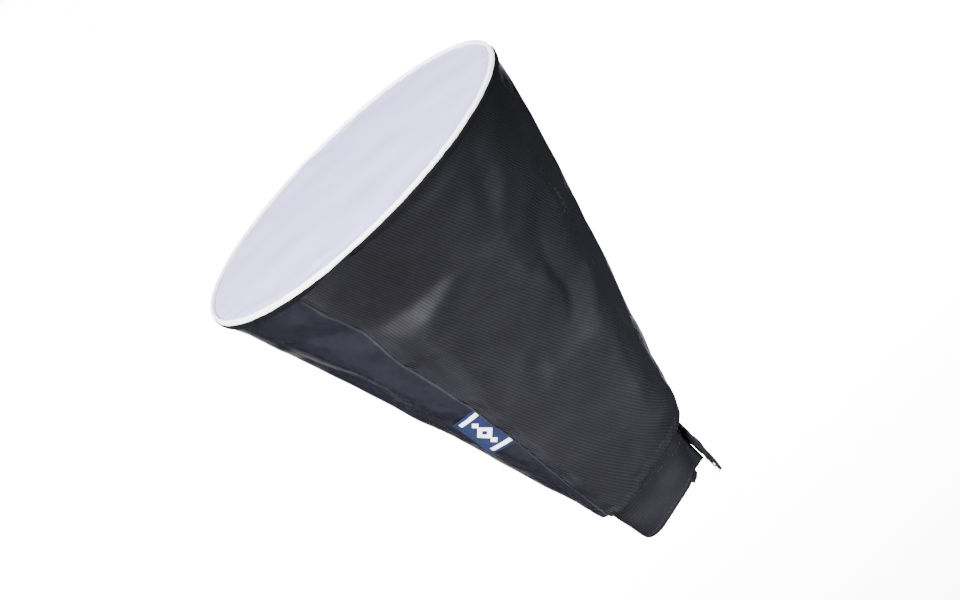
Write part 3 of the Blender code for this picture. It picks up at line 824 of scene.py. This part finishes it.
def build_cuff():
    z = np.concatenate([[-0.3, 0.0, 0.5], np.linspace(1.4, 24.5, 18), [25.2, 27, 30, 33, 36]]) * MM
    rounded_edge = np.concatenate([[-0.9, -0.35, -0.08], np.zeros(len(z) - 3)]) * MM
    degrees, height = np.meshgrid(np.linspace(130, 410, 210), z)
    base = cuff_point(degrees, height, 0.0)
    sag = 0.45 * MM * waves(base, 34 * MM, 31)
    sag = sag * smooth(height, 3 * MM, 12 * MM) * (1 - smooth(height, 14 * MM, 24 * MM))
    points = cuff_point(degrees, height, rounded_edge[:, None] + sag)
    made = cloth("cuff_strap", points, 1.6 * MM, stack(np.radians(degrees) * 36 * MM, height))
    dress(made, "black_webbing", "cone", replaces=("cuff_band",))
    for name, row in (("cuff_stitches_rear", 4), ("cuff_stitches_front", 19)):
        line = points[row, 3:-3]
        sew(name, line, radial(line), (3.0, 2.0, 0.2), "black_webbing", "cone")


def over_cuff(name, x, y, z, thickness, *look):
    """A strap over the cuff's top. Its grid is turned round, because one along +X and +Z would face -Y."""
    return dress(cloth(name, stack(x, y, z)[:, ::-1], thickness, stack(x, z)[:, ::-1]), *look)


def over_node(node, columns, rows):
    """A CAD node's box, and over it a grid's X, its share of the box's width, and its share of the length."""
    low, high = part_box(node)
    x, share = np.meshgrid(np.linspace(low.x, high.x, columns), np.linspace(0, 1, rows))
    return low, high, x, share, (x - low.x) / (high.x - low.x)


def droop(z, run, start):
    """How far the tail hangs down behind the cuff's rear edge, in metres."""
    return -0.8 * MM * smooth(-z, -2 * MM, 9 * MM) * smooth(run, start, 0.8)


def build_cuff_closure():
    """The cuff's tail with its hook tape, and the loop tape on the tongue below it."""
    _, high, x, share, run = over_node("cuff_tail", 60, 30)
    rear = np.interp(run, [0, 0.45, 0.8, 1.0], [-0.5, -3.0, -9.0, -9.4]) * MM
    z = rear + (21.3 * MM - rear) * share
    curl = 0.35 * MM * waves(stack(x, z, 0.0), 18 * MM, 51) * smooth(run, 0.1, 0.5)
    y = high.y + 0.8 * MM * smooth(run, 0.0, 0.35) + curl + droop(z, run, 0.2)
    tail = over_cuff("tail_strap", x, y, z, 1.5 * MM, "black_webbing", "strap_tail", None, ("cuff_tail",))
    for name, row in (("tail_stitches_front", 27), ("tail_stitches_rear", 2)):
        line = stack(x, y, z)[row, 4:-3]
        up = np.tile([0.0, 1.0, 0.0], (len(line), 1))
        sew(name, line, up, (2.8, 1.9, 0.2), "black_webbing", "strap_tail")

    low, high, x, share, run = over_node("tail_hook_patch", 44, 24)
    rear = low.z * run * 0.95
    z = rear + (20.0 * MM - rear) * share
    y = high.y + droop(z, run, 0.0) + 0.1 * MM * waves(stack(x, z, 0.0), 3 * MM, 52) - 0.05 * MM
    over_cuff("tail_hook_tape", x, y, z, 0.7 * MM, "hook_tape", "strap_tail", None, ("tail_hook_patch",))

    low, high, x, share, run = over_node("tongue_loop_patch", 34, 18)
    z = low.z + (high.z - low.z) * share
    y = high.y + 0.06 * MM * waves(stack(x, z, 0.0), 16 * MM, 53) * smooth(run, 0, 0.4)
    over_cuff("tongue_loop_tape", x, y, z, 0.6 * MM, "loop_pile", "cone", None, ("tongue_loop_patch",))
    build_frays()


def build_frays():
    """Loose threads at the tail's cut corner."""
    corner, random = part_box("cuff_tail")[1], np.random.default_rng(77)
    lines = []
    for _ in range(34):
        start = np.array([corner.x - random.uniform(0, 9) * MM, corner.y - random.uniform(0.6, 1.9) * MM,
                          random.uniform(-9.3, -8.4) * MM])
        way = np.array([random.uniform(-0.3, 0.5), random.uniform(-1.0, 0.15), random.uniform(-1.0, -0.35)])
        bend = random.normal(size=3) * 0.6
        length = random.uniform(0.7, 2.2) * MM
        share = np.linspace(0, 1, 7)[:, None]
        lines.append(start + length * (way * share + bend * share**2 * 0.6))
    made = tubes("tail_frays", lines, np.linspace(0.16, 0.07, 7) * MM, 5)
    dress(made, "black_webbing", "strap_tail", BLACK_THREAD)


# The diffuser cap

DIFFUSER_EDGE = 99.15 * MM
# Small folds near the diffuser's edge: a line of (angle, share of the radius), its lift and its width in mm
DIFFUSER_FOLDS = [
    ([(-30, 0.93), (-22, 0.90), (-14, 0.93)], -0.8, 3.0),
    ([(-40, 0.95), (-52, 0.93), (-64, 0.95)], 0.6, 2.5),
    ([(-20, 0.97), (-26, 0.84)], 0.7, 3.5),
    ([(168, 0.95), (176, 0.86)], -1.6, 6.0),
    ([(186, 0.98), (190, 0.88)], 1.2, 6.0),
]


def build_diffuser():
    """A white disc, crowned in the middle and puckered at its seam."""
    shares = np.concatenate([[0.004], np.linspace(0.04, 0.86, 34), np.linspace(0.88, 1.0, 12)])
    degrees, share = np.meshgrid(np.linspace(0, 360, 300, endpoint=False), shares)
    angle = np.radians(degrees)
    place = polar(share * DIFFUSER_EDGE, angle, 0.0)
    height = (249.15 + 3.7 * (1 - share**2.6)) * MM
    height = height + 0.45 * MM * waves(place, 55 * MM, 61) * (1 - smooth(share, 0.8, 1.0))
    pucker = waves(polar(1.0, angle, 0.0), 0.12, 62, 8)
    height = height + 0.22 * MM * pucker * np.exp(-(((share - 0.965) / 0.03) ** 2))
    height = height + 0.12 * MM * waves(place, 9 * MM, 63) * smooth(share, 0.75, 0.95)
    for line, lift, width in DIFFUSER_FOLDS:
        step = np.linspace(0, len(line) - 1, 24)
        bend, far = (np.interp(step, range(len(line)), part) for part in zip(*line))
        spine = polar(far * DIFFUSER_EDGE, np.radians(bend), 0.0)
        gap = np.linalg.norm(place[:, :, None, :] - spine, axis=-1).min(axis=-1) / (width * MM)
        height = height + lift * MM * np.exp(-(gap**2)) * (1 - smooth(share, 0.97, 1.0))
    points = stack(place[..., 0], place[..., 1], height)
    made = cloth("diffuser_cloth", points[::-1], 0.6 * MM, place[::-1, :, :2], closed=True, pole=True)
    dress(made, "white_diffuser", "cap", replaces=("diffuser_sheet",))


PIPING_DEPTH, PIPING_WIDENING = 2.5 * MM, 2.3 * MM
PIPING_INNER = 99.5 * MM


def piping_widening(degrees):
    """0 to 1: the white binding rolls over and widens along the lower near side."""
    turned = (np.asarray(degrees) + 180) % 360 - 180
    return smooth(-turned, 14, 34) * (1 - smooth(-turned, 96, 128))


def piping_depth(degrees):
    """How tall the white binding shows, in metres."""
    return PIPING_DEPTH + PIPING_WIDENING * piping_widening(degrees)


def ring(name, section, columns, slot, *look):
    """A closed ring. section(angle in degrees) gives its (radius, height) outline."""
    angles = np.linspace(0, 360, columns, endpoint=False)
    outlines = np.array([section(a) for a in angles])  # angle, outline point, (radius, height)
    radius, height = outlines[..., 0], outlines[..., 1]
    turn = np.radians(angles)[:, None]
    count = outlines.shape[1]
    faces = []
    for a in range(columns):
        b = (a + 1) % columns
        for k in range(count):
            n = (k + 1) % count
            faces.append((a * count + k, b * count + k, b * count + n, a * count + n))
    run = np.cumsum(np.linalg.norm(np.diff(outlines[0], axis=0, prepend=outlines[0][:1]), axis=1))
    uv = stack(turn * CAP_RADIUS, run[None, :])
    made = mesh_object(name, polar(radius, turn, height).reshape(-1, 3), faces, uv.reshape(-1, 2))
    dress(made, slot, "cap", *look)


def piping_section(degrees):
    """A rounded box, from its outer side over its top, with a stitched waist where it is wide."""
    place = polar(1.0, math.radians(degrees), 0.0)
    wide = piping_widening(degrees)
    top = CAP_FRONT_Z + (waves(place, 0.10, 81, 8) * 0.06 + waves(place, 0.03, 82, 8) * 0.035) * MM
    depth = piping_depth(degrees)
    pucker = waves(place, 0.045, 83, 8) * 0.22 * MM * wide
    turn = np.linspace(0, TAU, 20, endpoint=False)
    x, y = (np.sign(part) * np.abs(part) ** 0.62 for part in (np.cos(turn), np.sin(turn)))
    waist = 1 - 0.16 * wide * np.exp(-(((y - 0.25) / 0.22) ** 2)) * (x > 0)
    radius = (PIPING_INNER + CAP_RADIUS) / 2 + (CAP_RADIUS - PIPING_INNER) / 2 * x * waist
    radius = radius + pucker * (x > 0) * np.abs(y) ** 0.5 * 0.5
    return stack(radius, top - depth / 2 + depth / 2 * y + pucker * 0.4)


def elastic_section(degrees):
    """A flat band with rounded outer corners, gathered in small pleats."""
    turn = math.radians(degrees)
    gather = 0.16 * MM * math.sin(turn * 150) + 0.08 * MM * math.sin(turn * 97 + 1)
    low, top = CAP_REAR_Z, CAP_FRONT_Z - float(piping_depth(degrees)) + 0.3 * MM
    outer = CAP_RADIUS - 1.1 * MM + gather
    soft = min(0.4 * MM, (top - low) / 3)
    return np.array([(PIPING_INNER, low), (outer - soft, low), (outer, low + soft), (outer, (low + top) / 2),
                     (outer, top - soft), (outer - soft, top), (PIPING_INNER, top)])


def build_piping():
    """White cord binding sewn round the diffuser, over a black elastic band that grips the mouth."""
    ring("piping_cord", piping_section, 540, "white_piping", None, ("edge_binding", "elastic_cord"))
    angles = np.arange(0, 360.1, 0.5)
    seam = polar(CAP_RADIUS - 0.10 * MM, np.radians(angles), CAP_FRONT_Z - piping_depth(angles) * 0.62)
    sew("piping_stitches", seam, radial(seam), (2.0, 1.2, 0.13), "white_piping", "cap", WHITE_THREAD)
    ring("cap_elastic_band", elastic_section, 720, "black_tape")


# The grip pads


def build_pads():
    """Ribbed rubber pads on the cuff's inside: one at each side, and one at the bottom."""
    for side, turn, half in (("near", 0, 11.5), ("far", 180, 11.5), ("bottom", 270, 11.0)):
        node = "grip_pad_" + side
        low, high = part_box(node)
        across, along = np.meshgrid(np.linspace(-half, half, 60) * MM, np.linspace(low.z, high.z, 73))
        ribs = 0.35 * MM * np.maximum(0, np.cos(along / (1.8 * MM) * TAU / 2)) ** 0.5
        run = (along - low.z) / (high.z - low.z)
        thick = 0.95 * MM + ribs * smooth(run, 0.0, 0.06) * (1 - smooth(run, 0.94, 1.0))
        back = (cuff_height(along) if turn == 270 else CUFF_WIDTH) / 2 - 2.35 * MM
        spin = np.array(Matrix.Rotation(math.radians(turn), 3, "Z")).T
        rear, face = stack(back, across, along) @ spin, stack(back - thick, across, along) @ spin
        pad = between(node + "_ribbed", rear, face, rear[..., 1:], sharp=35.0)
        dress(pad, "grip_rubber", "cone", replaces=(node,))


# The studio

FLOOR_Z = -0.6


def build_studio():
    scene = bpy.context.scene
    camera = bpy.data.objects.new("camera", bpy.data.cameras.new("camera"))
    scene.collection.objects.link(camera)
    right, up = Vector((0.2187, 0.7089, -0.6705)), Vector((-0.2315, 0.7052, 0.6701))
    forward = Vector((-0.9479, -0.0086, -0.3183))
    rows = Matrix((right, up, -forward)).transposed().to_4x4()
    rows.translation = Vector((1.1266, 0.0140, 0.5293))
    camera.matrix_world = rows
    camera.data.sensor_width, camera.data.lens = 36.0, 82.5
    camera.data.clip_start, camera.data.clip_end = 0.01, 200.0
    scene.camera = camera
    world = bpy.data.worlds.new("studio")
    world.use_nodes = True
    background = world.node_tree.nodes["Background"]
    background.inputs[0].default_value = (0.97, 0.98, 1.0, 1.0)
    background.inputs[1].default_value = 0.65
    scene.world = world
    for name, place, target, size, power, spread, colour in (
        ("key", (1.40, -1.00, 1.90), (0, 0, 0.06), (0.9, 0.9), 23.5, 40, (1.0, 0.985, 0.97)),
        ("low_front", (0.85, -0.44, 0.13), (0.05, 0, 0.01), (0.4, 0.4), 1.6, 24, (1.0, 0.98, 0.96)),
        ("fill", (0.75, 0.55, 0.20), (0.05, 0, 0.01), (0.4, 0.4), 3.3, 24, (0.96, 0.98, 1.0)),
        ("floor_wash", (-7.0, -0.2, 0.95), (-7.0, -0.2, -1.0), (12.6, 5.0), 3400.0, 60, (1.0, 1.0, 1.0)),
        ("floor_wash_low", (-0.3, -1.6, 0.3), (-0.3, -1.6, -1.0), (1.6, 1.2), 170.0, 30, (0.96, 0.98, 1.0)),
    ):
        data = bpy.data.lights.new(name, "AREA")
        data.shape, data.size, data.size_y = "RECTANGLE", *size
        data.energy, data.color, data.spread = power, colour, math.radians(spread)
        lamp = bpy.data.objects.new(name, data)
        lamp.location = place
        lamp.rotation_euler = (Vector(target) - lamp.location).to_track_quat("-Z", "Y").to_euler()
        scene.collection.objects.link(lamp)
    corners = [(-40, -40), (40, -40), (40, 40), (-40, 40)]
    floor = mesh_object("floor", [(x, y, FLOOR_Z) for x, y in corners], [(0, 1, 2, 3)])
    floor.data.materials.append(Shader("floor", (0.93, 0.93, 0.93), 0.8).material)


def main():
    build_studio()
    build_shell()
    build_satin()
    closure_tape("loop_strip_tape", "loop_strip", "loop_pile", "cone", 0.75 * MM, 15)
    closure_tape("hook_strip_tape", "hook_strip", "hook_tape", "side_flap", 1.6 * MM, 16)
    build_lining()
    build_mouth_hem()
    build_boning()
    build_label()
    build_cuff()
    build_cuff_closure()
    build_diffuser()
    build_piping()
    build_pads()
    for node in ("cuff_tongue", "tail_anchor"):
        kept = frame["nodes"][node]
        kept.data.materials.clear()
        kept.data.materials.append(MATERIALS["black_webbing"])


main()
bpy.context.view_layer.update()
